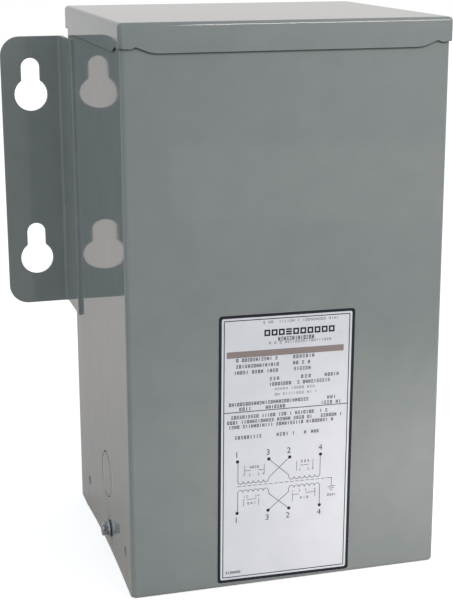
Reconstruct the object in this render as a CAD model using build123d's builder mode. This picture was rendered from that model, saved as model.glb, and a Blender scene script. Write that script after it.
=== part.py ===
"""General purpose transformer: a wall-mounting single-phase unit in a painted sheet-steel case.

All sizes are in millimetres. X runs to the right along the front, Y from the front to the
wall, Z up. The origin is under the middle of the whole unit, on the surface it stands on.
"""

import os
from math import sqrt

from build123d import *

# Case: one sheet bent round the front, both sides and the edges of the back
case_width = 187.0
case_depth = 168.2
case_height = 325.8
case_sheet = 1.5
bend_radius = 1.3
back_return = 22.0
front_flange = 14.0
flange_relief = 0.6
foot_corner_radius = 3.0

# Back panel, welded behind the returns of the case
back_sheet = 1.5

# Lid: a folded pan with a skirt that is cut back at each corner
lid_sheet = 1.0
lid_clearance = 0.2
lid_skirt = 16.1
lid_bend_radius = 1.5
tab_width = 6.6
tab_rise = 2.4
tab_slope = 0.4
notch_reach = 9.3
notch_rise = 3.5
scallop_reach = 23.0

# Mounting ears: an angle of heavier sheet on each side, with two keyholes each
ear_sheet = 1.9
ear_width = 38.6
ear_bottom = 132.0
ear_top = 307.6
ear_lap = 21.5
ear_stand_off = 18.9
ear_corner_radius = 12.5
ear_bend_radius = 2.0
key_from_case = 21.6
key_entry_diameter = 21.1
key_slot_width = 11.8
key_rise = 17.4
key_below_ear_top = 37.1
key_spacing = 108.0

# Bottom cover: a tray inside the lower edge, held by one screw on each side
cover_sheet = 1.5
cover_clearance = 0.3
cover_side_flange = 28.0
cover_back_flange = 12.0
cover_locator_gap = 4.0

# Side wall features of the wiring compartment, from the front face and the lower edge
screw_from_front = 66.1
screw_height = 17.0
locator_diameter = 6.4
locator_depth = 0.9
locator_taper = 30
locator_height = 22.2
locators_from_front = (18.6, 134.3)
knockout_from_front = 72.4
knockout_height = 50.3
knockout_diameter = 28.6
knockout_shear_gap = 0.45
knockout_ties = ((128.0, 3.2), (232.0, 6.0))

# Hexagon washer-head screw and the toothed lock washer under it
screw_hole_diameter = 5.0
screw_shank_diameter = 4.2
screw_shank_length = 12.0
screw_flange_diameter = 9.1
screw_flange_thickness = 1.0
screw_hexagon_flats = 6.35
screw_hexagon_height = 2.8
washer_diameter = 10.6
washer_thickness = 1.2
washer_teeth = 12
washer_tooth_depth = 1.0
thread_collar_diameter = 8.0
thread_collar_length = 2.4

# Rating label on the front
label_width = 81.2
label_height = 162.3
label_off_centre = -1.45
label_centre_height = 84.1
label_tilt = -0.65
label_thickness = 0.3
label_corner_radius = 2.0

# Cast block that holds the core and the coils above the wiring compartment
block_bottom = 96.0
block_head_room = 6.0
block_clearance = 0.3

# Places that follow from the sizes above
lid_overhang = lid_clearance + lid_sheet
# The upper edge of the case seats in the bend of the lid, just below the lid's flat top
lid_bend_reach = max(0, lid_bend_radius - lid_clearance)
lid_seat = lid_bend_radius - sqrt(lid_bend_radius**2 - lid_bend_reach**2)
lid_top = case_height + lid_seat + lid_sheet
overall_depth = lid_overhang + case_depth + ear_stand_off + ear_sheet
front_y = lid_overhang - overall_depth / 2
back_y = front_y + case_depth
middle_y = (front_y + back_y) / 2
half_width = case_width / 2
bend_outer = bend_radius + case_sheet
# The round of an upright bend lies this far inside its sharp corner, along the diagonal
bend_setback = (sqrt(2) - 1) * bend_outer
inner_width = case_width - 2 * case_sheet
inner_front_y = front_y + case_sheet
panel_front_y = back_y - case_sheet - back_sheet
ear_front_y = back_y + ear_stand_off
ear_back_y = ear_front_y + ear_sheet
# The square edges of the cover keep their clearance from the inside of the case's bends
cover_gap = max(cover_clearance, bend_radius - (bend_radius - cover_clearance) / sqrt(2))
cover_floor = case_sheet + cover_gap
screw_y = front_y + screw_from_front
knockout_y = front_y + knockout_from_front
sides = {"left": -1, "right": 1}

os.makedirs("parts", exist_ok=True)


def side_plane(side, distance):
    """Plane parallel to a side wall, facing outwards, with its own y axis pointing up."""
    return Plane(origin=(side * distance, 0, 0), x_dir=(0, side, 0), z_dir=(side, 0, 0))


# Case: a tube with rounded bends, open at the top, at the bottom and in the middle of the back
with BuildPart() as case_shell:
    with BuildSketch():
        with Locations((0, middle_y)):
            RectangleRounded(case_width, case_depth, bend_outer)
            RectangleRounded(
                inner_width, case_depth - 2 * case_sheet, bend_radius, mode=Mode.SUBTRACT
            )
        with Locations((0, back_y)):
            Rectangle(case_width - 2 * back_return, 2 * bend_outer, mode=Mode.SUBTRACT)
    extrude(amount=case_height)
    # The front is folded inwards along its lower edge, round a bend of the same radius
    bend_centre = (front_y + bend_outer, bend_outer)
    with BuildSketch(Plane.YZ):
        with BuildLine():
            inner_bend = CenterArc(bend_centre, bend_radius, 180, 90)
            outer_bend = CenterArc(bend_centre, bend_outer, 180, 90)
            flange_tip = (front_y + front_flange, case_sheet)
            Polyline(inner_bend @ 1, flange_tip, (flange_tip[0], 0), outer_bend @ 1)
            Line(inner_bend @ 0, outer_bend @ 0)
        make_face()
    extrude(amount=inner_width / 2 - flange_relief, both=True)
    # The lower front corners follow that bend
    with BuildSketch(Plane.YZ):
        with BuildLine():
            corner_bend = CenterArc(bend_centre, bend_outer, 180, 90)
            Polyline(corner_bend @ 0, (front_y, 0), corner_bend @ 1)
        make_face()
    extrude(amount=half_width, both=True, mode=Mode.SUBTRACT)
    for side in sides.values():
        # The same corner is dressed round where the upright bend runs out at its foot
        foot_corner = (side * half_width, front_y, 0)
        with BuildSketch(Plane(foot_corner, x_dir=(-side, 1, 0), z_dir=(1, side, 0))):
            with BuildLine():
                dressing_centre = (bend_setback + foot_corner_radius, foot_corner_radius)
                dressing = CenterArc(dressing_centre, foot_corner_radius, 180, 90)
                Polyline(dressing @ 0, (0, foot_corner_radius), (0, 0), dressing @ 1)
            make_face()
        extrude(amount=dressing_centre[0], both=True, mode=Mode.SUBTRACT)
        # Clearance hole for the cover screw
        with BuildSketch(side_plane(side, half_width)):
            with Locations((side * screw_y, screw_height)):
                Circle(screw_hole_diameter / 2)
        extrude(amount=-case_sheet, mode=Mode.SUBTRACT)
        # Dents that locate the side flange of the cover, pressed through as bosses inside
        locator_places = [(side * (front_y + y), locator_height) for y in locators_from_front]
        with BuildSketch(side_plane(side, inner_width / 2)):
            with Locations(*locator_places):
                Circle(locator_diameter / 2)
        extrude(amount=-locator_depth, taper=locator_taper)
        with BuildSketch(side_plane(side, half_width)):
            with Locations(*locator_places):
                Circle(locator_diameter / 2)
        extrude(amount=-locator_depth, taper=locator_taper, mode=Mode.SUBTRACT)
        # Knockout: a slug sheared loose all round but for two ties
        with BuildSketch(side_plane(side, half_width)):
            with Locations((side * knockout_y, knockout_height)):
                Circle(knockout_diameter / 2)
                Circle(knockout_diameter / 2 - knockout_shear_gap, mode=Mode.SUBTRACT)
                for angle, tie_width in knockout_ties:
                    tie_angle = angle if side < 0 else 180 - angle
                    with PolarLocations(knockout_diameter / 2, 1, start_angle=tie_angle):
                        Rectangle(knockout_diameter / 4, tie_width, mode=Mode.SUBTRACT)
        extrude(amount=-case_sheet, mode=Mode.SUBTRACT)
    case_shell.part.label = "case_shell"
export_step(case_shell.part, "parts/case_shell.step")

# Back panel: a flat sheet between the side walls, in front of the returns
with BuildPart() as back_panel:
    with BuildSketch():
        with Locations((0, panel_front_y + back_sheet / 2)):
            Rectangle(inner_width - 2 * bend_radius, back_sheet)
    extrude(amount=case_height)
    back_panel.part.label = "back_panel"
export_step(back_panel.part, "parts/back_panel.step")

# Lid: a pan folded down on all four sides, turned over the top of the case
lid_width = case_width + 2 * lid_overhang
lid_depth = case_depth + 2 * lid_overhang
lid_outer_radius = lid_bend_radius + lid_sheet
skirt_edge = lid_top - lid_skirt
with BuildPart() as lid:
    with BuildSketch(Plane.XY.offset(skirt_edge)):
        with Locations((0, middle_y)):
            RectangleRounded(lid_width, lid_depth, lid_outer_radius)
    extrude(amount=lid_skirt)
    fillet(lid.faces().sort_by(Axis.Z)[-1].edges(), lid_outer_radius)
    offset(amount=-lid_sheet, openings=lid.faces().sort_by(Axis.Z)[0])
    # Each skirt is cut back in a scallop near its two ends, which leaves a short corner tab
    for normal, half_length, reach_out in (
        ((0, -1, 0), lid_width / 2, lid_depth / 2),
        ((0, 1, 0), lid_width / 2, lid_depth / 2),
        ((-1, 0, 0), lid_depth / 2, lid_width / 2),
        ((1, 0, 0), lid_depth / 2, lid_width / 2),
    ):
        outwards = Vector(normal)
        centre = Vector(0, middle_y, skirt_edge) + outwards * reach_out
        with BuildSketch(Plane(centre, x_dir=Vector(0, 0, 1).cross(outwards), z_dir=outwards)):
            with BuildLine():
                notch = (half_length - notch_reach, notch_rise)
                reach = (half_length - scallop_reach, 0)
                run = (scallop_reach - notch_reach) / 2
                Bezier(notch, (notch[0] - run, notch_rise / 3), (notch[0] - run, 0), reach)
                Polyline(
                    reach,
                    (half_length, 0),
                    (half_length, tab_rise + tab_slope),
                    (half_length - tab_width, tab_rise),
                    notch,
                )
            make_face()
            mirror(about=Plane.YZ)
        extrude(amount=-lid_sheet, mode=Mode.SUBTRACT)
    lid.part.label = "lid"
export_step(lid.part, "parts/lid.step")

# Mounting ears: each leg laps its side wall, and the ear stands out level with the wall behind
key_upper_height = ear_top - key_below_ear_top
keyhole_heights = (key_upper_height - key_spacing, key_upper_height)
leg_out = half_width + ear_sheet
ear_tip = leg_out + ear_width
for name, side in sides.items():
    with BuildPart() as mounting_ear:
        with BuildSketch(Plane.XY.offset(ear_bottom)):
            with BuildLine():
                corners = (
                    (half_width, back_y - ear_lap),
                    (leg_out, back_y - ear_lap),
                    (leg_out, ear_front_y),
                    (ear_tip, ear_front_y),
                    (ear_tip, ear_back_y),
                    (half_width, ear_back_y),
                )
                Polyline(*[(side * x, y) for x, y in corners], close=True)
            ear_face = make_face()
            inner_corner = ear_face.vertices().sort_by_distance((side * leg_out, ear_front_y, 0))[0]
            outer_corner = ear_face.vertices().sort_by_distance((side * half_width, ear_back_y, 0))[0]
            fillet(inner_corner, ear_bend_radius)
            fillet(outer_corner, ear_bend_radius + ear_sheet)
        extrude(amount=ear_top - ear_bottom)
        tip_face = mounting_ear.faces().sort_by(Axis.X)[0 if side < 0 else -1]
        fillet(tip_face.edges().filter_by(Axis.Y), ear_corner_radius)
        with BuildSketch(Plane((0, ear_front_y, 0), x_dir=(1, 0, 0), z_dir=(0, -1, 0))):
            with Locations(*[(side * (half_width + key_from_case), z) for z in keyhole_heights]):
                Circle(key_entry_diameter / 2)
                Rectangle(key_slot_width, key_rise, align=(Align.CENTER, Align.MIN))
            with Locations(
                *[(side * (half_width + key_from_case), z + key_rise) for z in keyhole_heights]
            ):
                Circle(key_slot_width / 2)
        extrude(amount=-ear_sheet, mode=Mode.SUBTRACT)
        mounting_ear.part.label = name + "_mounting_ear"
    export_step(mounting_ear.part, f"parts/{mounting_ear.part.label}.step")

# Bottom cover: a tray with side flanges between the locating dents and a flange at the back
cover_width = inner_width - 2 * cover_gap
cover_front_y = inner_front_y + cover_gap
cover_back_y = panel_front_y - cover_clearance
flange_front_y = front_y + locators_from_front[0] + cover_locator_gap
flange_back_y = front_y + locators_from_front[1] - cover_locator_gap
cover_bend_outer = bend_radius + cover_sheet
with BuildPart() as bottom_cover:
    with BuildSketch(Plane.XY.offset(cover_floor)):
        with Locations((0, (cover_front_y + cover_back_y) / 2)):
            Rectangle(cover_width, cover_back_y - cover_front_y)
    extrude(amount=cover_sheet)
    # Side flanges, folded up along the side walls
    with BuildSketch(Plane.XY.offset(cover_floor)):
        with Locations((0, (flange_front_y + flange_back_y) / 2)):
            Rectangle(cover_width, flange_back_y - flange_front_y)
            Rectangle(
                cover_width - 2 * cover_sheet, flange_back_y - flange_front_y, mode=Mode.SUBTRACT
            )
    extrude(amount=cover_side_flange)
    # Back flange, folded up along the back panel
    with BuildSketch(Plane.XY.offset(cover_floor)):
        with Locations((0, cover_back_y - cover_sheet / 2)):
            Rectangle(cover_width - 2 * cover_bend_outer, cover_sheet)
    extrude(amount=cover_back_flange)
    # Thread collars for the cover screws
    for side in sides.values():
        with BuildSketch(side_plane(side, cover_width / 2 - cover_sheet)):
            with Locations((side * screw_y, screw_height)):
                Circle(thread_collar_diameter / 2)
        extrude(amount=-thread_collar_length)
        with BuildSketch(side_plane(side, cover_width / 2)):
            with Locations((side * screw_y, screw_height)):
                Circle(screw_shank_diameter / 2)
        extrude(amount=-cover_sheet - thread_collar_length, mode=Mode.SUBTRACT)
    bottom_cover.part.label = "bottom_cover"
export_step(bottom_cover.part, "parts/bottom_cover.step")

# Cover screws and their lock washers, one set on each side wall
for name, side in sides.items():
    washer_face = half_width + washer_thickness
    with BuildPart() as lock_washer:
        with BuildSketch(side_plane(side, half_width)):
            with Locations((side * screw_y, screw_height)):
                Circle(washer_diameter / 2)
                Circle(screw_hole_diameter / 2, mode=Mode.SUBTRACT)
                with PolarLocations(washer_diameter / 2, washer_teeth):
                    Rectangle(
                        washer_tooth_depth, washer_diameter / washer_teeth, mode=Mode.SUBTRACT
                    )
        extrude(amount=washer_thickness)
        lock_washer.part.label = name + "_lock_washer"
    export_step(lock_washer.part, f"parts/{lock_washer.part.label}.step")

    with BuildPart() as cover_screw:
        with BuildSketch(side_plane(side, washer_face)):
            with Locations((side * screw_y, screw_height)):
                Circle(screw_flange_diameter / 2)
        extrude(amount=screw_flange_thickness)
        flange_rim = cover_screw.faces().sort_by(Axis.X)[0 if side < 0 else -1].edges()
        chamfer(flange_rim, screw_flange_thickness / 2)
        with BuildSketch(side_plane(side, washer_face + screw_flange_thickness)):
            with Locations((side * screw_y, screw_height)):
                RegularPolygon(screw_hexagon_flats / 2, 6, major_radius=False)
        extrude(amount=screw_hexagon_height)
        with BuildSketch(side_plane(side, washer_face)):
            with Locations((side * screw_y, screw_height)):
                Circle(screw_shank_diameter / 2)
        extrude(amount=-screw_shank_length)
        cover_screw.part.label = name + "_cover_screw"
    export_step(cover_screw.part, f"parts/{cover_screw.part.label}.step")

# Rating label: a thin plate with rounded corners, stuck on the lower part of the front
with BuildPart() as rating_label:
    with BuildSketch(Plane((0, front_y, 0), x_dir=(1, 0, 0), z_dir=(0, -1, 0))):
        with Locations(Location((label_off_centre, label_centre_height), label_tilt)):
            RectangleRounded(label_width, label_height, label_corner_radius)
    extrude(amount=label_thickness)
    rating_label.part.label = "rating_label"
export_step(rating_label.part, "parts/rating_label.step")

# Cast block: fills the case above the wiring compartment
with BuildPart() as cast_block:
    with BuildSketch(Plane.XY.offset(block_bottom)):
        block_front_y = inner_front_y + block_clearance
        block_back_y = panel_front_y - block_clearance
        with Locations((0, (block_front_y + block_back_y) / 2)):
            Rectangle(inner_width - 2 * block_clearance, block_back_y - block_front_y)
    extrude(amount=case_height - block_head_room - block_bottom)
    fillet(cast_block.edges().filter_by(Axis.Z), bend_outer)
    cast_block.part.label = "cast_block"
export_step(cast_block.part, "parts/cast_block.step")
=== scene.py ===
# %% [markdown]
# This lesson dresses a wall-mounting transformer: a tall box of painted sheet steel with a
# folded lid, two ears with keyholes, a printed rating label and one small screw low on each
# side. The measured model comes first as a fixed frame. Everything that is added afterwards
# takes its place from that frame, so nothing has to be fitted by eye.

# %% Load the measured model
import math

import bmesh
import bpy
from mathutils import Matrix, Vector


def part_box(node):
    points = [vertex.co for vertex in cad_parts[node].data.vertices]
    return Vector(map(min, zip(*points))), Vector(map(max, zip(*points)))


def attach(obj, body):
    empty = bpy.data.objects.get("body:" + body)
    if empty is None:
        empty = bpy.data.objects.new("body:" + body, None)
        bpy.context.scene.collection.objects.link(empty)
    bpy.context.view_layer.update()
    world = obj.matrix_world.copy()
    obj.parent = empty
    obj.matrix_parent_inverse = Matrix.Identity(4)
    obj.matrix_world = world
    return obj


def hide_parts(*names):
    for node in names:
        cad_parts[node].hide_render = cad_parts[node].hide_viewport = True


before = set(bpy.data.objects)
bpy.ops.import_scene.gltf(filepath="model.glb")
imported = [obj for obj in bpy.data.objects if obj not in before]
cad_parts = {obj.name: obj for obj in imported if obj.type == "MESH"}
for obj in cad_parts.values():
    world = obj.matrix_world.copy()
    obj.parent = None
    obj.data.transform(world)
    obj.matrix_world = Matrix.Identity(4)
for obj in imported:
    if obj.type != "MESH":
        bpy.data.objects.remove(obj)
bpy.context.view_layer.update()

case_low, case_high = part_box("case_shell")
print("case", [round(v, 4) for v in case_low], [round(v, 4) for v in case_high])

# %% [markdown]
# Sizes on a small object are easiest to read in millimetres, while the scene is in metres.
# One constant does the change. A piece of the object is a mesh at the origin, unturned, with
# its place in its vertices, so one helper links it and names the body that it moves with.

# %% Units and small helpers
MM = 0.001


def link(name, mesh):
    """Puts a mesh into the scene as an object at the origin."""
    obj = bpy.data.objects.new(name, mesh)
    bpy.context.scene.collection.objects.link(obj)
    return obj


def keep(obj, slot, *nodes):
    """Puts a finished piece on its body and hides the plain solids that it stands for. The slot is
    not used.
    """
    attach(obj, "root")
    if nodes:
        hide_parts(*nodes)
    return obj


# %% [markdown]
# In Blender the light, every finish and every repeated part is a tree of nodes. The same few
# lines come back in each tree, so they are written once here. Two helpers make a node, one
# with its inputs filled by name and one in their order. Two more do a sum and map a range.

# %% Helpers for node trees


def feed(tree, socket, value):
    """Links a socket to another one, or sets it to a plain value."""
    if isinstance(value, bpy.types.NodeSocket):
        tree.links.new(value, socket)
    else:
        socket.default_value = value


def dress(tree, node, **values):
    """Links or sets the named inputs of a node. An underscore stands for a space."""
    for key, value in values.items():
        feed(tree, node.inputs[key.replace("_", " ")], value)


def add(tree, kind, settings=None, **values):
    """A node with its settings and its named inputs. Its outputs are returned."""
    node = tree.nodes.new(kind)
    for key, value in (settings or {}).items():
        setattr(node, key, value)
    dress(tree, node, **values)
    return node.outputs


def fill(tree, kind, *values, **settings):
    """A node with its inputs filled in their order. Its first output is returned."""
    node = tree.nodes.new(kind)
    for key, value in settings.items():
        setattr(node, key, value)
    for socket, value in zip(node.inputs, values):
        feed(tree, socket, value)
    return node.outputs[0]


def calc(tree, operation, *values):
    """A small sum on one or two values."""
    return fill(tree, "ShaderNodeMath", *values, operation=operation)


def map_range(tree, value, start, end, low, high):
    """Runs from low to high while a value runs from start to end, and stays there."""
    return add(tree, "ShaderNodeMapRange", Value=value, From_Min=start, From_Max=end,
               To_Min=low, To_Max=high)["Result"]


# %% [markdown]
# The camera stands in front, a little to the left and above, and looks slightly down. Its
# place was worked out from the straight edges of the case. A long lens keeps the upright
# edges nearly parallel. The small shift is the rest of the photograph's framing.

# %% Camera
CAMERA_FROM_CORNER = Vector((-147.79, -741.93, 377.83)) * MM
CAMERA_TURN = math.radians(16.403)
CAMERA_DIP = math.radians(14.779)
LENS = 85.844
SHIFT = (-0.0392, 0.0)

camera_data = bpy.data.cameras.new("camera")
camera_data.lens = LENS
camera_data.sensor_width = 36.0
camera_data.shift_x, camera_data.shift_y = SHIFT
camera_data.clip_start = 0.05
camera = bpy.data.objects.new("camera", camera_data)
camera.location = Vector((case_low.x, case_low.y, 0)) + CAMERA_FROM_CORNER
camera.rotation_euler = (math.pi / 2 - CAMERA_DIP, 0, -CAMERA_TURN)
bpy.context.scene.collection.objects.link(camera)
bpy.context.scene.camera = camera
print("camera at", [round(v, 3) for v in camera.location])

# %% [markdown]
# The studio is plain: a pale floor, a white background and a few soft lamps. The painted
# sides are glossy and mirror what stands around them, so the background that gloss sees is
# given its own brightness here, and the light that reaches matt surfaces another. The
# daylight from all round is a little cool, which tints the shaded ears.

# %% World
BACKGROUND_IN_GLOSS = (0.77, 0.75, 0.735, 1)
AMBIENT_COLOUR = (0.94, 1.0, 1.05, 1)
AMBIENT = 0.57

world = bpy.data.worlds.new("studio")
bpy.context.scene.world = world
world.use_nodes = True
tree = world.node_tree
tree.nodes.clear()
path = add(tree, "ShaderNodeLightPath")
ambient = add(tree, "ShaderNodeBackground", Color=AMBIENT_COLOUR, Strength=AMBIENT)
glossy = add(tree, "ShaderNodeBackground", Color=BACKGROUND_IN_GLOSS)
white = add(tree, "ShaderNodeBackground", Color=(1, 1, 1, 1))
mirrored = calc(tree, "MAXIMUM", path["Is Glossy Ray"], path["Is Transmission Ray"])
unseen = fill(tree, "ShaderNodeMixShader", mirrored, ambient[0], glossy[0])
surface = fill(tree, "ShaderNodeMixShader", path["Is Camera Ray"], unseen, white[0])
dress(tree, tree.nodes.new("ShaderNodeOutputWorld"), Surface=surface)
print("ambient", AMBIENT, "seen in gloss", BACKGROUND_IN_GLOSS[:3])

# %% [markdown]
# The floor is matt white paper. A photographer lights the paper until it goes white, which
# would also light the object. Here the paper gets a glow that only the camera sees, and a
# faint warm one for gloss, which fades in the shade of the case. So the paper turns white but
# keeps a soft shadow round the case.

# %% Floor
FLOOR_REACH = 4.0
FLOOR_GAP = 0.05 * MM
PAPER = (0.85, 0.85, 0.85, 1)
GLOW_SEEN = 0.66
GLOW_IN_GLOSS = 0.18
GLOW_IN_SHADE = 0.125
WARM_GLOW = (1, 0.55, 0.25, 1)
SHADE_REACH = (0.12, 0.42)

floor_mesh = bpy.data.meshes.new("floor")
r = FLOOR_REACH
z = -FLOOR_GAP
floor_mesh.from_pydata([(-r, -r, z), (r, -r, z), (r, r, z), (-r, r, z)], [], [(0, 1, 2, 3)])
floor = link("floor", floor_mesh)

floor_paper = bpy.data.materials.new("floor_paper")
floor_paper.use_nodes = True
tree = floor_paper.node_tree
paper = tree.nodes["Principled BSDF"]
dress(tree, paper, Base_Color=PAPER, Roughness=0.9, Specular_IOR_Level=0.0)
path = add(tree, "ShaderNodeLightPath")
where = add(tree, "ShaderNodeTexCoord")["Object"]
from_middle = add(tree, "ShaderNodeVectorMath", {"operation": "LENGTH"}, Vector=where)["Value"]
fade = map_range(tree, from_middle, *SHADE_REACH, GLOW_IN_SHADE, GLOW_IN_GLOSS)
lit = paper.outputs[0]
for kind_of_ray, colour, strength in (("Is Camera Ray", (1, 1, 1, 1), GLOW_SEEN),
                                      ("Is Glossy Ray", WARM_GLOW, fade)):
    amount = calc(tree, "MULTIPLY", path[kind_of_ray], strength)
    glow = add(tree, "ShaderNodeEmission", Color=colour, Strength=amount)
    lit = fill(tree, "ShaderNodeAddShader", lit, glow[0])
dress(tree, tree.nodes["Material Output"], Surface=lit)
floor_mesh.materials.append(floor_paper)
print("floor glow seen", GLOW_SEEN, "in gloss", GLOW_IN_SHADE, "to", GLOW_IN_GLOSS)

# %% [markdown]
# Most of the light falls from above and just in front, to the right of the middle, so the
# front is brightest low on the right, where the lit paper shines back at it. The ears stand in
# the shade of the case and take only the light from all round. The last lamp is seen in glossy
# paint only, where it draws the bright line along the bend of the lid's front.

# %% Lamps
WARM_WHITE = (1.09, 1.0, 0.95)


def lamp(name, place, aim, size, radiance, only_mirrored=False):
    """A soft rectangular lamp of a stated brightness, turned to face a point."""
    data = bpy.data.lights.new(name, "AREA")
    data.shape = "RECTANGLE"
    data.size, data.size_y = size
    data.energy = radiance * math.pi * size[0] * size[1]
    data.color = WARM_WHITE
    obj = bpy.data.objects.new(name, data)
    obj.location = place
    obj.rotation_euler = (Vector(aim) - Vector(place)).to_track_quat("-Z", "Y").to_euler()
    obj.visible_diffuse = not only_mirrored
    bpy.context.scene.collection.objects.link(obj)


lamp("front_strip", (0.10, -0.30, 0.45), (0.10, -0.299, 0), (0.20, 0.15), 3.3)
lamp("right_strip", (0.28, -0.30, 0.45), (0.28, -0.299, 0), (0.10, 0.075), 6.8)
lamp("side_strip", (0.32, -0.15, 0.30), (0.32, -0.149, 0), (0.15, 0.15), 0.85)
lamp("paper_lamp", (0.15, -0.25, 0.15), (0.15, -0.249, 0), (0.20, 0.10), 3.7)
lamp("key", (1.04, -1.16, 1.06), (0, 0, 0.16), (0.5, 0.5), 0.75)
lamp("low_strip", (0.45, -1.00, 0.06), (0.1, -0.09, 0.05), (0.6, 0.1), 0.25)
lamp("bend_glint", (0.12, -0.30, 0.448), (0.12, -0.299, 0), (0.24, 0.09), 9.0, only_mirrored=True)
bpy.context.scene.view_settings.view_transform = "Standard"

# %% [markdown]
# Every finish here starts the same way: a Principled shader with patterns hung on Object
# coordinates, which the piece carries with it. A noise pattern keeps mostly near its middle,
# so that part is stretched before it is used. Small helpers keep each recipe short.

# %% Helpers for finishes
PATTERN_MIDDLE = (0.3, 0.7)


def new_material(name):
    """A material with a Principled shader, and Object coordinates to hang patterns on."""
    material = bpy.data.materials.new(name)
    material.use_nodes = True
    tree = material.node_tree
    where = add(tree, "ShaderNodeTexCoord")["Object"]
    return material, tree, tree.nodes["Principled BSDF"], where


def noise(tree, where, scale, detail):
    """The factor of a noise pattern, scale in waves per metre."""
    return add(tree, "ShaderNodeTexNoise", Vector=where, Scale=scale, Detail=detail)["Fac"]


def spread(tree, factor, low, high):
    """Stretches the middle of a pattern to run from low to high."""
    return map_range(tree, factor, *PATTERN_MIDDLE, low, high)


def blend_colours(tree, factor, *colours):
    """A colour between two, by a factor. Each is three numbers or a socket."""
    first, second = ((*c, 1) if isinstance(c, tuple) else c for c in colours)
    return add(tree, "ShaderNodeMix", {"data_type": "RGBA"}, Factor=factor,
               A=first, B=second)["Result"]


def distance_from(tree, where, place, counts):
    """The distance from a place, in the directions that count."""
    offset = fill(tree, "ShaderNodeVectorMath", where, place, operation="SUBTRACT")
    across = fill(tree, "ShaderNodeVectorMath", offset, counts, operation="MULTIPLY")
    return add(tree, "ShaderNodeVectorMath", {"operation": "LENGTH"}, Vector=across)["Value"]


def bump(tree, height, distance, below=None):
    """A bump of a stated depth in metres, on top of another bump where one is given."""
    base = {} if below is None else {"Normal": below}
    return add(tree, "ShaderNodeBump", Height=height, Distance=distance, **base)["Normal"]


# %% [markdown]
# The case is finished in baked grey enamel. It is glossy enough to mirror the ear and its
# keyholes in the side wall. Sprayed paint is never dead flat: a slow wave bends what it
# mirrors, and a very fine peel breaks up its shine. Under the lid's skirt and in the knockout's
# groove the paint is given a painted shade, dark and dull, and round the screws it is scuffed.

# %% Grey enamel
GAP_REACH = 1.7 * MM
GAP_SAMPLES = 8
GAP_CLOSED = 0.55
GAP_OPEN = 0.96
GAP_FROM = 308.2 * MM
GAP_FULL = 309.8 * MM
KNOCKOUT = (-21.5 * MM, 50.3 * MM)
GROOVE_MIDDLE = 14.1 * MM
GROOVE_NEAR = 0.25 * MM
GROOVE_FAR = 0.5 * MM
# How dark the painted shade in the knockout's groove is
GROOVE_PAINTED_SHADE = 0.7
# The colour of the painted shade under the lid's skirt and in the knockout's groove
PAINTED_SHADE_COLOUR = (0.012, 0.016, 0.016)
SCREW_PLACE = (0, -27.8 * MM, 17.0 * MM)
SCUFF_NEAR = 6 * MM
SCUFF_FAR = 16 * MM
SCUFF = 0.28


def groove_shade(tree, where):
    """Painted shade in the groove round a knockout, nought away from it."""
    from_middle = distance_from(tree, where, (0, *KNOCKOUT), (0, 1, 1))
    off_groove = calc(tree, "ABSOLUTE", calc(tree, "SUBTRACT", from_middle, GROOVE_MIDDLE))
    return map_range(tree, off_groove, GROOVE_NEAR, GROOVE_FAR, GROOVE_PAINTED_SHADE, 0)


def gap_shade(tree, where):
    """Painted shade: one in the narrow gap under the lid's skirt, nought in the open."""
    near = add(tree, "ShaderNodeAmbientOcclusion", {"samples": GAP_SAMPLES},
               Distance=GAP_REACH)
    height = add(tree, "ShaderNodeSeparateXYZ", Vector=where)["Z"]
    closed = map_range(tree, near["AO"], GAP_CLOSED, GAP_OPEN, 1, 0)
    high_up = map_range(tree, height, GAP_FROM, GAP_FULL, 0, 1)
    return calc(tree, "MULTIPLY", closed, high_up)


enamel, tree, shader, where = new_material("grey_enamel")
mottle = spread(tree, noise(tree, where, 55, 3), 0, 1)
colour = blend_colours(tree, mottle, (0.243, 0.273, 0.268), (0.262, 0.292, 0.286))
# Painted shade: the darker of the gap under the skirt and the knockout's groove. It darkens the
# colour and cuts the shine.
painted_shade_amount = calc(tree, "MAXIMUM", gap_shade(tree, where), groove_shade(tree, where))
from_screw = distance_from(tree, where, SCREW_PLACE, (0, 1, 1))
scuff = map_range(tree, from_screw, SCUFF_NEAR, SCUFF_FAR, SCUFF, 0)
shine = spread(tree, noise(tree, where, 120, 3), 0.035, 0.055)
waves = bump(tree, noise(tree, where, 14, 1), 0.03 * MM)
dress(tree, shader, Base_Color=blend_colours(tree, painted_shade_amount, colour, PAINTED_SHADE_COLOUR),
      Specular_IOR_Level=map_range(tree, painted_shade_amount, 0, 1, 0.5, 0.02),
      Roughness=calc(tree, "ADD", scuff, shine),
      Normal=bump(tree, noise(tree, where, 420, 2), 0.0015 * MM, below=waves), IOR=1.55)

# %% [markdown]
# The screws are steel with bright zinc, a bluish skin that is never even, and the rim of their
# flange is a paler zinc, a painted highlight. The toothed washers are duller, and darker as a
# painted shade for the gap under the head. All of these are metals, so their colour is the colour
# of what they mirror.

# %% Zinc finishes
zinc, tree, shader, where = new_material("bright_zinc")
bloom = spread(tree, noise(tree, where, 500, 3), 0, 1)
dress(tree, shader, Metallic=1.0,
      Base_Color=blend_colours(tree, bloom, (0.10, 0.14, 0.17), (0.66, 0.73, 0.77)),
      Roughness=spread(tree, noise(tree, where, 900, 2), 0.14, 0.26),
      Normal=bump(tree, noise(tree, where, 1500, 2), 0.01 * MM))

# A paler zinc for the rim of the flange: a painted highlight
painted_highlight_zinc, tree, shader, where = new_material("painted_highlight_zinc")
highlight_mottle = spread(tree, noise(tree, where, 600, 2), 0, 1)
dress(tree, shader, Metallic=1.0,
      Base_Color=blend_colours(tree, highlight_mottle, (0.80, 0.86, 0.88), (0.92, 0.95, 0.96)),
      Roughness=spread(tree, noise(tree, where, 900, 2), 0.20, 0.30))

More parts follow.
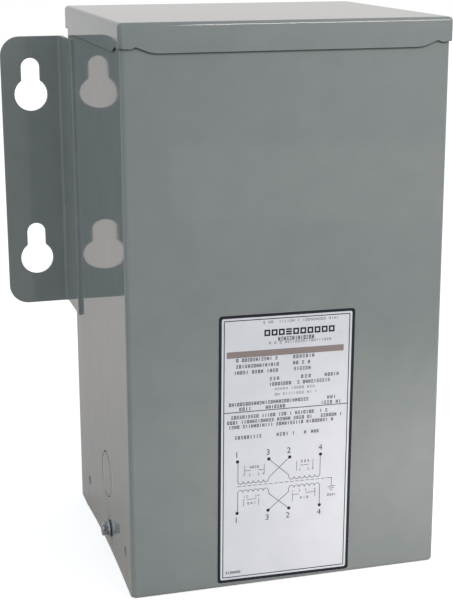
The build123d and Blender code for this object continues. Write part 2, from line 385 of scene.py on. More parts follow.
# The washers' zinc is rougher, and darker as a painted shade for the gap between the head and the
# wall
dull_shaded_zinc, tree, shader, where = new_material("dull_shaded_zinc")
bloom = spread(tree, noise(tree, where, 700, 3), 0, 1)
dress(tree, shader, Metallic=1.0,
      Base_Color=blend_colours(tree, bloom, (0.10, 0.12, 0.13), (0.19, 0.22, 0.23)),
      Roughness=spread(tree, noise(tree, where, 900, 2), 0.35, 0.5))

# %% [markdown]
# The label is a satin film, printed black with one taupe bar. The cast block inside is a dark
# compound filled with sand.

# %% Film, inks and compound
film, tree, shader, where = new_material("label_film")
tone = spread(tree, noise(tree, where, 60, 2), 0, 1)
dress(tree, shader,
      Base_Color=blend_colours(tree, tone, (0.775, 0.785, 0.830), (0.815, 0.825, 0.870)),
      Roughness=spread(tree, noise(tree, where, 300, 2), 0.30, 0.38),
      Normal=bump(tree, noise(tree, where, 90, 2), 0.01 * MM))


def ink(name, dark, light):
    """A printed ink that covers the film a little unevenly."""
    material, tree, shader, where = new_material(name)
    cover = spread(tree, noise(tree, where, 900, 2), 0, 1)
    dress(tree, shader, Base_Color=blend_colours(tree, cover, dark, light),
          Roughness=spread(tree, noise(tree, where, 400, 2), 0.32, 0.42),
          Specular_IOR_Level=0.25)
    return material


black_ink = ink("black_ink", (0.010, 0.013, 0.022), (0.018, 0.022, 0.033))
grey_ink = ink("grey_ink", (0.12, 0.125, 0.14), (0.17, 0.175, 0.19))
taupe_ink = ink("taupe_ink", (0.30, 0.245, 0.225), (0.325, 0.27, 0.25))

compound, tree, shader, where = new_material("casting_compound")
sand = noise(tree, where, 800, 4)
sandy = blend_colours(tree, spread(tree, sand, 0, 1), (0.02, 0.02, 0.02), (0.05, 0.05, 0.048))
dress(tree, shader, Base_Color=sandy, Normal=bump(tree, sand, 0.3 * MM), Roughness=0.8)
print("finishes", [m.name for m in bpy.data.materials])

# %% [markdown]
# Sheet steel is cut and folded, so its edges are slightly rounded by the shears and by the
# paint. The measured solids have dead sharp edges, which never catch the light. A copy of each
# sheet piece is welded into one skin and its sharp edges get a small bevel. Bends are left
# alone by their small angles, and so are the fine cuts at some corners, which are shorter than
# the bevel is wide.

# %% Helpers for sheet pieces
EDGE_ROUND = 0.28 * MM
HEAVY_EDGE_ROUND = 0.6 * MM
EDGE_STEPS = 3
SHARP = math.radians(38)
STAYS_CREASED = math.radians(60)
SAME_POINT = 0.002 * MM
SAME_PLANE = math.radians(0.3)


def welded_copy(node_name):
    """A bmesh copy of a measured solid, with its loose triangles joined into whole faces."""
    bm = bmesh.new()
    bm.from_mesh(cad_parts[node_name].data)
    bmesh.ops.remove_doubles(bm, verts=bm.verts, dist=SAME_POINT)
    bmesh.ops.dissolve_limit(bm, angle_limit=SAME_PLANE, verts=bm.verts, edges=bm.edges)
    return bm


def finish_sheet(name, bm, stays_sharp=None, edge_round=EDGE_ROUND):
    """Bevels the sharp edges of a sheet piece and sets its shading, as a plain mesh."""
    weight = bm.edges.layers.float.new("bevel_weight_edge")
    for edge in bm.edges:
        fine = stays_sharp and any(stays_sharp(v.co) for v in edge.verts)
        if edge.calc_face_angle(0) > SHARP and not fine:
            edge[weight] = 1.0
    start = bpy.data.meshes.new(name + "_start")
    bm.to_mesh(start)
    bm.free()
    start.shade_smooth()
    start.materials.append(enamel)
    obj = link(name, start)
    bevel = obj.modifiers.new("rounded edges", "BEVEL")
    bevel.width = edge_round
    bevel.segments = EDGE_STEPS
    bevel.limit_method = "WEIGHT"
    bevel.use_clamp_overlap = False
    seen = obj.evaluated_get(bpy.context.evaluated_depsgraph_get())
    done = bpy.data.meshes.new_from_object(seen)
    done.set_sharp_from_angle(angle=STAYS_CREASED)
    obj.modifiers.clear()
    obj.data = done
    bpy.data.meshes.remove(start)
    done.name = name
    weigh = obj.modifiers.new("flat faces stay flat", "WEIGHTED_NORMAL")
    weigh.keep_sharp = True
    return obj


# %% [markdown]
# Each side wall of the real case is a little hollow: the screw pulls its lower edge in, and the
# folding has drawn the middle of the sheet inwards. That is what makes the mirrored keyholes
# look wider than the real ones. One rule gives the depth of the hollow at any point of the
# wall. It moves the wall's own skin, and the screws and washers that sit on it.

# %% The hollow of the side walls
WALL_FRONT = 2.8 * MM
WALL_REAR = 146.0 * MM
HOLLOW_ABOVE = 0.75 * MM
LEAN_BACK = 0.5
SWELL = 90 * MM
HOLLOW_AT_FOOT = 1.4 * MM
FOOT_REACH = 14 * MM
HELD_BY_LID = 12
STRIPS = 20
FIRST_CUT = 4 * MM
WIDEST_CUT = 20 * MM
ON_CUT = 0.0001 * MM
skirt_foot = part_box("lid")[0].z


def hollow(y, z):
    """How far the side wall is drawn in at a height and a distance from the front."""
    along = (y - case_low.y - WALL_FRONT) / (WALL_REAR - WALL_FRONT)
    if not 0 < along < 1:
        return 0.0
    up = min(max(z, 0), skirt_foot)
    held = 1 - (up / skirt_foot) ** HELD_BY_LID
    middle = HOLLOW_ABOVE * held * (1 - math.exp(-(up / SWELL) ** 2))
    foot = HOLLOW_AT_FOOT * math.exp(-up / FOOT_REACH)
    return (middle + foot) * 4 * along * (1 - along) * (1 + LEAN_BACK * (along - 0.5))


def draw_in(bm, nearest):
    """Moves the parts of a mesh that lie by the side walls inwards, by the rule."""
    for v in bm.verts:
        if abs(v.co.x) > nearest:
            v.co.x -= math.copysign(hollow(v.co.y, v.co.z), v.co.x)


def slice_walls(bm, nearest):
    """Cuts the side walls into a grid, finer towards the foot, so that they can bend."""
    cuts = []
    for i in range(STRIPS + 1):
        y = case_low.y + WALL_FRONT + (WALL_REAR - WALL_FRONT) * i / STRIPS
        cuts.append((Vector((0, y, 0)), Vector((0, 1, 0))))
    z = FIRST_CUT
    while z < skirt_foot:
        cuts.append((Vector((0, 0, z)), Vector((0, 0, 1))))
        z += min(WIDEST_CUT, FIRST_CUT + z / 4)
    for place, direction in cuts:
        faces = [f for f in bm.faces if all(abs(v.co.x) > nearest for v in f.verts)]
        edges = {e for f in faces for e in f.edges}
        verts = {v for f in faces for v in f.verts}
        bmesh.ops.bisect_plane(bm, geom=faces + list(edges) + list(verts), plane_co=place,
                               plane_no=direction, dist=ON_CUT)


print("hollow at the screw", round(hollow(case_low.y + 66 * MM, 17 * MM) / MM, 2), "mm")

# %% [markdown]
# Each side wall has a round knockout for a conduit: a groove sheared nearly through the sheet,
# which leaves a slug to be struck out. The groove and the tight lower corners of the front are
# finer than the bevel, so they stay sharp. The groove also opens a little, which lets its dark
# line be seen from a distance.

# %% Knockouts and fine corners
KNOCKOUT_REACH = 15.2 * MM
GROOVE_WIDENING = 0.18 * MM
SIDE_SHEET = 85 * MM
LOWER_CORNER = (90 * MM, -91 * MM, 5 * MM)


def from_knockout(place):
    """Distance from the axis of the conduit knockout in the side wall."""
    return math.hypot(place.y - KNOCKOUT[0], place.z - KNOCKOUT[1])


def too_fine(place):
    """True at the rounded lower front corners and at the groove of the knockout."""
    x, y, z = LOWER_CORNER
    at_corner = place.z < z and abs(place.x) > x and place.y < y
    return at_corner or (abs(place.x) > SIDE_SHEET and from_knockout(place) < KNOCKOUT_REACH)


def open_groove(bm):
    """Opens the sheared groove of the knockout a little, as where its slug has been struck."""
    for v in bm.verts:
        away = from_knockout(v.co)
        if abs(v.co.x) > SIDE_SHEET and GROOVE_MIDDLE / 2 < away < KNOCKOUT_REACH:
            grow = 1 + math.copysign(GROOVE_WIDENING, away - GROOVE_MIDDLE) / away
            v.co.y = KNOCKOUT[0] + (v.co.y - KNOCKOUT[0]) * grow
            v.co.z = KNOCKOUT[1] + (v.co.z - KNOCKOUT[1]) * grow


print("knockout groove", round(2 * GROOVE_MIDDLE / MM, 1), "mm across its middle")

# %% [markdown]
# The case is one sheet bent round the front and both sides, and the bottom cover is a shallow
# tray inside its lower edge. Both bend with the hollow of the side walls.

# %% Case and bottom cover
WALL_SKIN = 2 * MM
TRAY_SIDE = 8 * MM


def bend_in(bm, depth):
    """Gives the hollow to all of a mesh that lies within a depth of the case's sides."""
    slice_walls(bm, case_high.x - depth)
    draw_in(bm, case_high.x - depth)


def sheet_piece(node_name, *how_dressed):
    obj = keep(finish_sheet(*how_dressed), "case_paint", node_name)
    print(obj.name, len(obj.data.polygons), "faces")


bm = welded_copy("case_shell")
open_groove(bm)
bend_in(bm, WALL_SKIN)
sheet_piece("case_shell", "case", bm, too_fine)

bm = welded_copy("bottom_cover")
bend_in(bm, TRAY_SIDE)
sheet_piece("bottom_cover", "cover_tray", bm)

# %% [markdown]
# The lid is a pan folded from one sheet, and its skirts are cut back near each corner. It keeps
# the measured shape, and the cut edges of its skirts stay sharp. One thing is put right: the
# solid has a small tab left over inside each corner, and the folded sheet has none.

# %% Folded lid
SKIRT_EDGE = 8 * MM
LID_SHEET = 1.0 * MM
TAB_WIDTH = 1.6 * MM
TAB_HEIGHT = 2.68 * MM
TAB_SLACK = 0.12 * MM


def by_skirt(place):
    """True along the cut lower edge of the lid's skirts."""
    return place.z < skirt_foot + SKIRT_EDGE


def trim_corners(bm):
    """Takes off the small tab that hangs inside each corner of the measured lid."""
    low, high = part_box("lid")
    inner_x = high.x - LID_SHEET
    for corner, outwards in ((low.y + LID_SHEET, -1), (high.y - LID_SHEET, 1)):
        tab = [v for v in bm.verts if v.co.z < skirt_foot + TAB_HEIGHT + TAB_SLACK
               and -TAB_SLACK < inner_x - abs(v.co.x) < TAB_WIDTH
               and -TAB_SLACK < (corner - v.co.y) * outwards < TAB_WIDTH]
        for v in tab:
            if v.co.z < skirt_foot + TAB_SLACK:
                v.co.z = skirt_foot + TAB_HEIGHT
        bmesh.ops.remove_doubles(bm, verts=tab, dist=TAB_SLACK)


bm = welded_copy("lid")
trim_corners(bm)
sheet_piece("lid", "folded_lid", bm, by_skirt)

# %% [markdown]
# The back is a flat sheet. The ears are angles of heavier sheet, so their edges are rounder,
# but where a leg lies against the side wall its edge stays sharp and leaves no groove there.

# %% Back sheet and ears
TOUCHING = 0.1 * MM


def on_wall(place):
    """True where the leg of an ear lies against the side wall."""
    return abs(place.x) < case_high.x + TOUCHING


sheet_piece("back_panel", "back_sheet", welded_copy("back_panel"))
for side_name in ("left", "right"):
    node_name = side_name + "_mounting_ear"
    sheet_piece(node_name, side_name + "_ear", welded_copy(node_name), on_wall, HEAVY_EDGE_ROUND)

# %% [markdown]
# The cover screw has a hexagon head with a washer face, cold-headed in one piece: a cone below,
# six flats, a turned chamfer on the corners and a shallow dimple on top. It can be made like a
# turning whose radius depends on the angle, ring by ring, so the flats and the round parts
# share one skin. The rim of the flange takes the paler zinc of a painted highlight. The lock
# washer below has been pressed flat, so the head sits a little nearer to the wall than a new
# washer would let it.

# %% Hexagon washer-head screws
HEAD_FLATS = 7.94
RING = 48
RIM = 4
HEAD_CREASE = math.radians(28)
WASHER_SQUEEZE = 0.35 * MM

# Height above the washer, radius, and whether the six flats cut the ring, in millimetres
SCREW_RINGS = [
    (-11.9, 0.9, False), (-11.2, 2.05, False), (0.02, 2.05, False), (0.02, 4.6, False),
    (0.12, 4.78, False), (0.72, 4.82, False), (0.88, 4.7, False), (1.05, 4.58, False),
    (1.10, 9.0, True), (3.95, 9.0, True), (4.25, 4.2, True), (4.50, 3.7, True),
    (4.60, 3.4, False), (4.56, 3.1, False), (4.25, 2.6, False), (4.15, 0.9, False),
]


def flats_radius(angle):
    """Distance from the axis to the side of the hexagon, at an angle."""
    third = math.pi / 3
    return HEAD_FLATS / 2 / math.cos((angle + third / 2) % third - third / 2)


def screw_mesh(name, side, seat):
    """The screw as one closed skin, its head pointing out of a side wall."""
    bm = bmesh.new()
    rings = []
    for height, radius, flats in SCREW_RINGS:
        ring = []
        for i in range(RING):
            angle = 2 * math.pi * i / RING
            reach = min(radius, flats_radius(angle)) if flats else radius
            ring.append(bm.verts.new(seat + Vector((side * height, reach * math.cos(angle),
                                                    reach * math.sin(angle))) * MM))
        rings.append(ring)
    for step, (lower, upper) in enumerate(zip(rings, rings[1:])):
        for i in range(RING):
            j = (i + 1) % RING
            face = bm.faces.new((lower[i], lower[j], upper[j], upper[i]))
            face.material_index = 1 if step == RIM else 0
    bm.faces.new(rings[0])
    bm.faces.new(rings[-1])
    bmesh.ops.recalc_face_normals(bm, faces=bm.faces)
    mesh = bpy.data.meshes.new(name)
    bm.to_mesh(mesh)
    bm.free()
    mesh.shade_smooth()
    mesh.set_sharp_from_angle(angle=HEAD_CREASE)
    mesh.materials.append(zinc)
    mesh.materials.append(painted_highlight_zinc)
    return mesh


def washer_seat(side_name):
    """The side, the place on the hollow wall, the thickness and the radius of a washer."""
    low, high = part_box(side_name + "_lock_washer")
    side = -1 if side_name == "left" else 1
    y, z = (low.y + high.y) / 2, (low.z + high.z) / 2
    wall = high.x if side < 0 else low.x
    seat = Vector((wall - side * hollow(y, z), y, z))
    return side, seat, high.x - low.x - WASHER_SQUEEZE, (high.y - low.y) / 2


for side_name in ("left", "right"):
    side, seat, thick, radius = washer_seat(side_name)
    name = side_name + "_screw"
    screw = link(name, screw_mesh(name, side, seat + Vector((side * thick, 0, 0))))
    keep(screw, "zinc_screw", side_name + "_cover_screw")
    print(name, len(screw.data.polygons), "faces, seat", [round(v / MM, 1) for v in seat])

# %% [markdown]
# Under each head lies a lock washer: a thin ring whose outer teeth are twisted, so that they
# bite into the paint. Teeth that repeat round a ring are a job for Geometry Nodes. First come
# the helpers that open such a tree, end it and turn what it grows into a plain mesh.

# %% Helpers for trees that grow a piece


def node_tree(name, inputs):
    """A geometry tree with named inputs, and the sockets that give them inside the tree."""
    tree = bpy.data.node_groups.new(name, "GeometryNodeTree")
    tree.is_modifier = True
    for label, kind, value in inputs:
        socket = tree.interface.new_socket(label, in_out="INPUT", socket_type="NodeSocket" + kind)
        if value is not None:
            socket.default_value = value
    tree.interface.new_socket("Geometry", in_out="OUTPUT", socket_type="NodeSocketGeometry")
    return tree, tree.nodes.new("NodeGroupInput").outputs


def joined(tree, kind, *geometries):
    """Several geometries in one, or in one set of instances."""
    node = tree.nodes.new(kind)
    for geometry in geometries:
        tree.links.new(geometry, node.inputs[0])
    return node.outputs[0]


def end_tree(tree, geometry, material):
    """Realizes the copies, sets their finish and ends the tree."""
    real = add(tree, "GeometryNodeRealizeInstances", Geometry=geometry)
    last = add(tree, "GeometryNodeSetMaterial", Geometry=real[0], Material=material)
    tree.links.new(last[0], tree.nodes.new("NodeGroupOutput").inputs[0])


def grown(name, tree, values, start=None):
    """Runs a tree with its inputs set, and gives the result as a plain mesh."""
    obj = link(name, start or bpy.data.meshes.new(name + "_start"))
    modifier = obj.modifiers.new("tree", "NODES")
    modifier.node_group = tree
    for item in tree.interface.items_tree:
        if item.in_out == "INPUT" and item.name in values:
            modifier[item.identifier] = values[item.name]
    seen = obj.evaluated_get(bpy.context.evaluated_depsgraph_get())
    mesh = bpy.data.meshes.new_from_object(seen)
    obj.modifiers.clear()
    bpy.data.objects.remove(obj)
    mesh.name = name
    return mesh


# %% [markdown]
# The washer's tree bends a flat section round a circle for the ring. It then places one
# twisted tooth on every point of a larger circle, turned to face outwards.

# %% Toothed lock washers
RING_INSET = 1.9 * MM
TOOTH_INSET = 0.75 * MM
TOOTH_LIFT = 0.45 * MM

tree, given = node_tree("toothed_washer", [
    ("Ring Radius", "Float", 3.4 * MM), ("Ring Width", "Float", 2.2 * MM),
    ("Thickness", "Float", 0.7 * MM), ("Teeth", "Int", 12), ("Tooth Radius", "Float", 4.5 * MM),
    ("Tooth Width", "Float", 1.5 * MM), ("Tooth Length", "Float", 1.3 * MM),
    ("Tooth Twist", "Float", 0.3),
])
circle = add(tree, "GeometryNodeCurvePrimitiveCircle", Resolution=48, Radius=given["Ring Radius"])
section = add(tree, "GeometryNodeCurvePrimitiveQuadrilateral",
              Width=given["Ring Width"], Height=given["Thickness"])
ring = add(tree, "GeometryNodeCurveToMesh", Curve=circle[0], Profile_Curve=section[0])
points = add(tree, "GeometryNodeMeshCircle", Vertices=given["Teeth"], Radius=given["Tooth Radius"])
size = add(tree, "ShaderNodeCombineXYZ", X=given["Tooth Length"], Y=given["Tooth Width"],
           Z=given["Thickness"])
tooth = add(tree, "GeometryNodeMeshCube", Size=size[0])
twist = add(tree, "ShaderNodeCombineXYZ", X=given["Tooth Twist"])
twisted = add(tree, "GeometryNodeTransform", Geometry=tooth[0], Rotation=twist[0])
outwards = add(tree, "GeometryNodeInputPosition")
turned = add(tree, "FunctionNodeAlignRotationToVector", {"axis": "X"}, Vector=outwards[0])
teeth = add(tree, "GeometryNodeInstanceOnPoints", Points=points[0], Instance=twisted[0],
            Rotation=turned[0])
end_tree(tree, joined(tree, "GeometryNodeJoinGeometry", ring[0], teeth[0]), dull_shaded_zinc)

for side_name in ("left", "right"):
    side, seat, thick, radius = washer_seat(side_name)
    name = side_name + "_washer"
    mesh = grown(name, tree, {"Ring Radius": radius - RING_INSET,
                              "Tooth Radius": radius - TOOTH_INSET,
                              "Thickness": thick - TOOTH_LIFT})
    middle = Matrix.Translation(seat + Vector((side * thick / 2, 0, 0)))
    mesh.transform(middle @ Matrix.Rotation(math.pi / 2, 4, "Y"))
    washer = keep(link(name, mesh), "zinc_washer", side_name + "_lock_washer")
    print(name, len(mesh.polygons), "faces", [round(v / MM, 1) for v in washer.dimensions])

# %% [markdown]
# The rating label is a satin film, stuck on by hand and so turned by a little over half a
# degree. All of its printing is laid out flat in label millimetres, from its lower left
# corner, and one matrix then puts it on the front of the case.

# %% Label sheet
LABEL_WIDTH = 81.2
LABEL_HEIGHT = 162.3
LABEL_TILT = math.radians(-0.65)
FILM_THICKNESS = 0.22
INK_FLOOR = 0.21
INK_TOP = 0.25

label_low, label_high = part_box("rating_label")
label_middle = Vector(((label_low.x + label_high.x) / 2, case_low.y,
                       (label_low.z + label_high.z) / 2))
centred = Matrix.Translation((-LABEL_WIDTH / 2, -LABEL_HEIGHT / 2, 0))
TO_LABEL = (Matrix.Translation(label_middle) @ Matrix.Rotation(math.pi / 2, 4, "X")
            @ Matrix.Scale(MM, 4) @ Matrix.Rotation(LABEL_TILT, 4, "Z") @ centred)


def rounded_outline(inset, radius, steps=6):
    """The points of a rounded rectangle that lies inside the label's edge."""
    points = []
    right, top = LABEL_WIDTH - inset - radius, LABEL_HEIGHT - inset - radius
    for x, y, start in ((right, inset + radius, -90), (right, top, 0),
                        (inset + radius, top, 90), (inset + radius, inset + radius, 180)):
        for i in range(steps + 1):
            angle = math.radians(start + 90 * i / steps)
            points.append((x + radius * math.cos(angle), y + radius * math.sin(angle)))
    return points


def add_plate(bm, outline, floor_z, top_z):
    """A thin closed plate over an outline that runs anticlockwise."""
    low = [bm.verts.new((x, y, floor_z)) for x, y in outline]
    top = [bm.verts.new((x, y, top_z)) for x, y in outline]
    bm.faces.new(top)
    bm.faces.new(low[::-1])
    for i in range(len(outline)):
        j = (i + 1) % len(outline)
        bm.faces.new((low[i], low[j], top[j], top[i]))


def label_piece(name, bm, material, *nodes):
    """Puts a flat drawing on the front of the case as a finished piece."""
    mesh = bpy.data.meshes.new(name)
    bm.to_mesh(mesh)
    bm.free()
    mesh.transform(TO_LABEL)
    mesh.materials.append(material)
    print(name, len(mesh.polygons), "faces")
    return keep(link(name, mesh), "label_foil", *nodes)


bm = bmesh.new()
add_plate(bm, rounded_outline(0.0, 2.0), 0.0, FILM_THICKNESS)
label_piece("label_sheet", bm, film, "rating_label")

# %% [markdown]
# The frame of the print is a heavy black border with round corners and a hairline inside it. A
# taupe bar closes the heading.

# %% Frame lines and bar


def bar(bm, x0, y0, x1, y1):
    """A filled rectangle of ink."""
    add_plate(bm, [(x0, y0), (x1, y0), (x1, y1), (x0, y1)], INK_FLOOR, INK_TOP)


def band(bm, outer, inner):
    """A thin closed frame of ink between two outlines with as many points."""
    rings = [[bm.verts.new((x, y, z)) for x, y in line]
             for line, z in ((outer, INK_FLOOR), (outer, INK_TOP), (inner, INK_TOP),
                             (inner, INK_FLOOR))]
    for first, second in zip(rings, rings[1:] + rings[:1]):
        for i in range(len(outer)):
            j = (i + 1) % len(outer)
            bm.faces.new((first[i], first[j], second[j], second[i]))


def stroke(bm, points, width):
    """A drawn line of ink through some points."""
    for start, end in zip(points, points[1:]):
        run = (Vector(end) - Vector(start)).normalized() * width / 2
        out = Vector((-run.y, run.x))
        corners = (Vector(start) - run - out, Vector(end) + run - out,
                   Vector(end) + run + out, Vector(start) - run + out)
        add_plate(bm, corners, INK_FLOOR, INK_TOP)


bm = bmesh.new()
band(bm, rounded_outline(0.05, 1.95), rounded_outline(1.85, 1.1))
band(bm, rounded_outline(3.05, 0.3), rounded_outline(3.55, 0.1))
stroke(bm, [(3.3, 104.9), (77.9, 104.9)], 0.45)
label_piece("label_border", bm, black_ink)

bm = bmesh.new()
bar(bm, 4.8, 137.2, 74.6, 140.9)
label_piece("label_bar", bm, taupe_ink)

# %% [markdown]
# Each row of print is set in plain marks of the right size and spacing: small open frames,
# strokes and double dashes, which say nothing. Marks that repeat along a line suit a node
# tree. It spaces them, leaves gaps as between words, and picks each mark by a fixed seed.

# %% Tree for rows of print
tree, given = node_tree("print_row", [
    ("Geometry", "Geometry", None), ("Pitch", "Float", 1.65), ("Mark Width", "Float", 1.2),
    ("Mark Height", "Float", 2.0), ("Line Width", "Float", 0.42), ("Gap Share", "Float", 0.14),
    ("Ink Height", "Float", INK_TOP - INK_FLOOR), ("Seed", "Int", 3), ("Last Mark", "Int", 3),
    ("Ink", "Material", None),
])


def ink_box(x, y, width, height):
    """A flat box of ink that stands off the middle of a mark."""
    size = add(tree, "ShaderNodeCombineXYZ", X=width, Y=height, Z=given["Ink Height"])
    place = add(tree, "ShaderNodeCombineXYZ", X=x, Y=y)
    box = add(tree, "GeometryNodeMeshCube", Size=size[0])
    return add(tree, "GeometryNodeTransform", Geometry=box[0], Translation=place[0])[0]


line, wide, high = given["Line Width"], given["Mark Width"], given["Mark Height"]
right = calc(tree, "MULTIPLY", calc(tree, "SUBTRACT", wide, line), 0.5)
top = calc(tree, "MULTIPLY", calc(tree, "SUBTRACT", high, line), 0.5)
left, foot = (calc(tree, "MULTIPLY", v, -1.0) for v in (right, top))
inner = calc(tree, "SUBTRACT", wide, calc(tree, "MULTIPLY", line, 2.0))
open_frame = joined(tree, "GeometryNodeJoinGeometry", ink_box(left, 0.0, line, high),
                    ink_box(right, 0.0, line, high), ink_box(0.0, top, inner, line),
                    ink_box(0.0, foot, inner, line))
dashes = joined(tree, "GeometryNodeJoinGeometry", ink_box(0.0, top, wide, line),
                ink_box(0.0, 0.0, wide, line), ink_box(0.0, foot, wide, line))
gate = joined(tree, "GeometryNodeJoinGeometry", ink_box(left, 0.0, line, high),
              ink_box(right, 0.0, line, high), ink_box(0.0, 0.0, inner, line))
upright = ink_box(0.0, 0.0, line, high)
marks = joined(tree, "GeometryNodeGeometryToInstance", upright, gate, dashes, open_frame)
rows = add(tree, "GeometryNodeMeshToCurve", Mesh=given["Geometry"])
spaced = add(tree, "GeometryNodeResampleCurve", {"mode": "LENGTH"}, Curve=rows[0],
             Length=given["Pitch"])
points = add(tree, "GeometryNodeCurveToPoints", {"mode": "EVALUATED"}, Curve=spaced[0])
chance = add(tree, "FunctionNodeRandomValue", {"data_type": "FLOAT"}, Seed=given["Seed"])
shown = calc(tree, "GREATER_THAN", chance[1], given["Gap Share"])
pick = tree.nodes.new("FunctionNodeRandomValue")
pick.data_type = "INT"
feed(tree, pick.inputs[4], 0)
feed(tree, pick.inputs[5], given["Last Mark"])
feed(tree, pick.inputs["Seed"], calc(tree, "ADD", given["Seed"], 7.0))
placed = add(tree, "GeometryNodeInstanceOnPoints", Points=points[0], Instance=marks,
             Pick_Instance=True, Instance_Index=pick.outputs[2], Selection=shown)
end_tree(tree, placed[0], given["Ink"])
print_tree = tree

# %% [markdown]
# The rows keep the layout of the real plate: a heading, a bar, the ratings in two columns, some
# lines of notes and a few values above the diagram.

# %% Rows of print
INK_MIDDLE = (INK_FLOOR + INK_TOP) / 2


def row_mesh(name, rows):
    """A mesh with one edge for each row of print, in label millimetres."""
    mesh = bpy.data.meshes.new(name)
    points = [(x, y, INK_MIDDLE) for x0, x1, y in rows for x in (x0, x1)]
    mesh.from_pydata(points, [(i, i + 1) for i in range(0, len(points), 2)], [])
    return mesh


def label_rows(name, tree, values, rows):
    """Grows a tree along some rows and puts the result on the label."""
    mesh = grown(name, tree, values, row_mesh(name + "_rows", rows))
    mesh.transform(TO_LABEL)
    print(name, len(mesh.polygons), "faces")
    return keep(link(name, mesh), "label_foil")


# Each row: from x, to x, height of its middle
RATING_ROWS = [
    (11.0, 35.8, 135.7), (44.8, 56.2, 135.7), (11.0, 34.9, 132.0), (44.8, 53.7, 132.0),
    (9.9, 36.2, 128.4), (45.4, 54.1, 128.4), (31.0, 37.4, 123.5), (49.8, 54.3, 123.5),
    (62.3, 71.3, 123.5), (30.8, 66.0, 120.2), (6.9, 54.8, 109.6), (66.0, 71.8, 109.6),
    (13.1, 18.7, 106.6), (28.8, 39.1, 106.6), (62.3, 74.9, 106.6),
    (8.3, 66.6, 101.8), (6.0, 73.9, 98.8), (6.9, 70.3, 96.0),
    (10.6, 27.0, 89.5), (35.6, 45.2, 89.5), (49.4, 52.2, 89.5), (56.6, 59.9, 89.5),
]
FAINT_ROWS = [(26.6, 70.5, 157.1), (30.2, 66.2, 144.7), (34.1, 56.8, 117.1), (34.1, 59.9, 113.9)]
label_rows("label_ratings", print_tree, {"Ink": black_ink, "Seed": 4}, RATING_ROWS)
label_rows("label_faint_print", print_tree, {
    "Ink": grey_ink, "Pitch": 1.55, "Mark Height": 1.45, "Mark Width": 1.05, "Line Width": 0.26,
    "Seed": 9}, FAINT_ROWS)
label_rows("label_heading", print_tree, {
    "Ink": black_ink, "Pitch": 4.2, "Mark Height": 3.7, "Mark Width": 3.5, "Line Width": 0.95,
    "Gap Share": -1.0, "Last Mark": 1, "Seed": 12}, [(28.5, 67.0, 150.8)])
label_rows("label_second_line", print_tree, {
    "Ink": black_ink, "Mark Height": 2.3, "Line Width": 0.45, "Gap Share": 0.08, "Seed": 5},
    [(35.6, 57.5, 146.8)])
label_rows("label_foot_print", print_tree, {
    "Ink": black_ink, "Pitch": 1.3, "Mark Height": 1.6, "Mark Width": 0.95, "Line Width": 0.3,
    "Gap Share": 0.1, "Seed": 2}, [(5.6, 13.4, 6.2)])
label_rows("label_link_values", print_tree, {
    "Ink": black_ink, "Pitch": 1.35, "Mark Height": 1.5, "Mark Width": 0.95, "Line Width": 0.26,
    "Gap Share": -1.0, "Seed": 6},
    [(19.6, 24.0, 70.9), (50.6, 54.6, 71.6), (18.4, 22.4, 48.7), (50.6, 54.4, 48.9),
     (67.4, 71.6, 48.9)])

# %% [markdown]
# Below the rows stands the wiring diagram: two windings above and two below, each drawn as a
# row of six loops. A loop is half a ring of ink, and a tree strings the loops along a line.

# %% Windings of the diagram
tree, given = node_tree("winding", [
    ("Geometry", "Geometry", None), ("Loops", "Int", 6), ("Loop Radius", "Float", 1.53),
    ("Line Width", "Float", 0.3), ("Ink Height", "Float", INK_TOP - INK_FLOOR),
    ("Turn", "Float", 0.0),
])
half_ring = add(tree, "GeometryNodeCurveArc", {"mode": "RADIUS"}, Resolution=9,
                Radius=given["Loop Radius"], Start_Angle=0.0, Sweep_Angle=math.pi)
section = add(tree, "GeometryNodeCurvePrimitiveQuadrilateral",
              Width=given["Line Width"], Height=given["Ink Height"])
loop = add(tree, "GeometryNodeCurveToMesh", Curve=half_ring[0], Profile_Curve=section[0],
           Fill_Caps=True)
line = add(tree, "GeometryNodeMeshToCurve", Mesh=given["Geometry"])
spaced = add(tree, "GeometryNodeResampleCurve", {"mode": "COUNT"}, Curve=line[0],
             Count=given["Loops"])
points = add(tree, "GeometryNodeCurveToPoints", {"mode": "EVALUATED"}, Curve=spaced[0])
turn = add(tree, "ShaderNodeCombineXYZ", Z=given["Turn"])
placed = add(tree, "GeometryNodeInstanceOnPoints", Points=points[0], Instance=loop[0],
             Rotation=turn[0])
end_tree(tree, placed[0], black_ink)

# From the middle of the first loop to the middle of the last one
COIL_TOP, COIL_FOOT = 62.5, 55.6
label_rows("upper_windings", tree, {"Turn": math.pi},
           [(13.6, 28.9, COIL_TOP), (44.6, 60.4, COIL_TOP)])
label_rows("lower_windings", tree, {"Turn": 0.0},
           [(13.6, 28.9, COIL_FOOT), (44.6, 60.4, COIL_FOOT)])

# %% [markdown]
# The leads, the dashed core and the earth sign are straight strokes. The terminals are round
# dots. The small brackets beside the windings show how the terminals are linked.

# %% Leads, core, earth sign and terminals
LEAD = 0.32
TERMINAL_X = (11.7, 30.5, 43.2, 62.1)
UPPER_Y, LOWER_Y = 74.9, 43.1
CORE_Y = 59.6
CORE_FROM, CORE_TO = 11.7, 66.5
DASH, DASH_PITCH = 2.0, 3.2
EARTH_X, EARTH_TOP = 69.3, 54.2
THIN_LINE = 0.28
LINK_LINE = 0.26
DOT_SIDES = 20

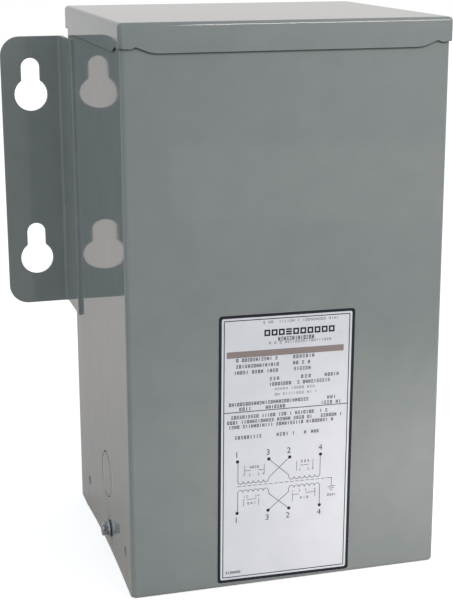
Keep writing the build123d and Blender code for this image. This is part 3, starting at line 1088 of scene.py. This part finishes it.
# The bars of the earth sign: half the length, height
EARTH_BARS = ((2.2, EARTH_TOP), (1.4, 53.0), (0.6, 51.8))
LINKS = [
    [(16.1, 72.0), (16.1, 66.8)], [(27.8, 72.0), (27.8, 66.8)],
    [(16.1, 68.9), (19.6, 68.9)], [(24.2, 68.9), (27.8, 68.9)],
    [(47.5, 72.0), (47.5, 66.8)], [(57.5, 72.0), (57.5, 66.8)],
    [(49.8, 69.2), (54.8, 69.2)],
    [(15.6, 51.3), (15.6, 47.1)], [(24.75, 51.3), (24.75, 47.1)],
    [(17.5, 51.1), (22.9, 51.1)],
    [(45.4, 51.8), (45.4, 47.1)], [(59.2, 52.6), (59.2, 49.0)],
    [(45.4, 51.3), (49.3, 51.3)], [(53.5, 51.8), (59.2, 51.8)],
]

bm = bmesh.new()
first, second, third, last = TERMINAL_X
for terminal_y, coil_y, knee_y in ((UPPER_Y, COIL_TOP, 63.9), (LOWER_Y, COIL_FOOT, 53.3)):
    stroke(bm, [(first + 0.3, terminal_y), (first + 0.3, coil_y)], LEAD)
    stroke(bm, [(last - 0.1, terminal_y), (last - 0.1, coil_y)], LEAD)
    stroke(bm, [(second, terminal_y), (42.7, knee_y), (42.9, coil_y)], LEAD)
    stroke(bm, [(third, terminal_y), (31.0, knee_y), (30.5, coil_y)], LEAD)
x = CORE_FROM
while x < CORE_TO:
    stroke(bm, [(x, CORE_Y), (x + DASH, CORE_Y)], THIN_LINE)
    x += DASH_PITCH
stroke(bm, [(68.0, CORE_Y), (EARTH_X, CORE_Y), (EARTH_X, EARTH_TOP)], THIN_LINE)
for half, y in EARTH_BARS:
    stroke(bm, [(EARTH_X - half, y), (EARTH_X + half, y)], LEAD)
for points in LINKS:
    stroke(bm, points, LINK_LINE)
turns = [2 * math.pi * i / DOT_SIDES for i in range(DOT_SIDES)]
for y in (UPPER_Y, LOWER_Y):
    for x in TERMINAL_X:
        dot = [(x + math.cos(turn), y + math.sin(turn)) for turn in turns]
        add_plate(bm, dot, INK_FLOOR, INK_TOP)
label_piece("wiring_lines", bm, black_ink)

# %% [markdown]
# Terminals are numbered with plain numbers. Blender's own font gives the digits as curves with
# a small thickness, which become a mesh before they take their place on the label.

# %% Terminal numbers
TERMINAL_DIGIT = 3.6
LINK_DIGIT = 1.5
CAP_SHARE = 0.72
SAME_INK_POINT = 0.0005


def digit_mesh(text, x, y, height):
    """One printed digit, centred on a point, in label millimetres."""
    curve = bpy.data.curves.new("digit", "FONT")
    curve.body = text
    curve.size = height / CAP_SHARE
    curve.align_x, curve.align_y = "CENTER", "CENTER"
    curve.extrude = (INK_TOP - INK_FLOOR) / 2
    curve.resolution_u = 4
    obj = bpy.data.objects.new("digit", curve)
    bpy.context.scene.collection.objects.link(obj)
    seen = obj.evaluated_get(bpy.context.evaluated_depsgraph_get())
    mesh = bpy.data.meshes.new_from_object(seen)
    bpy.data.objects.remove(obj)
    mesh.transform(Matrix.Translation((x, y, INK_MIDDLE)))
    return mesh


numbers = [(text, x, y, TERMINAL_DIGIT) for y in (79.0, 38.6)
           for text, x in zip("1324", (11.2, 30.0, 42.6, 61.9))]
for places, y in (((15.6, 19.0, 24.4, 27.4), 66.2), ((47.4, 49.4, 54.6, 57.4), 66.4),
                  ((16.0, 17.6, 22.9, 24.6), 52.9), ((45.5, 49.6, 53.4, 58.9), 53.4)):
    numbers += [(text, x, y, LINK_DIGIT) for text, x in zip("1234", places)]

bm = bmesh.new()
for number in numbers:
    bm.from_mesh(digit_mesh(*number))
bmesh.ops.remove_doubles(bm, verts=bm.verts, dist=SAME_INK_POINT)
bmesh.ops.recalc_face_normals(bm, faces=bm.faces)
label_piece("terminal_numbers", bm, black_ink)

# %% [markdown]
# The cast block stays as measured, because the closed case hides it. It only gets its finish.

# %% Finish of the hidden block
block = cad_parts["cast_block"]
block.data.materials.clear()
block.data.materials.append(compound)
print("block", [m.name for m in block.data.materials])
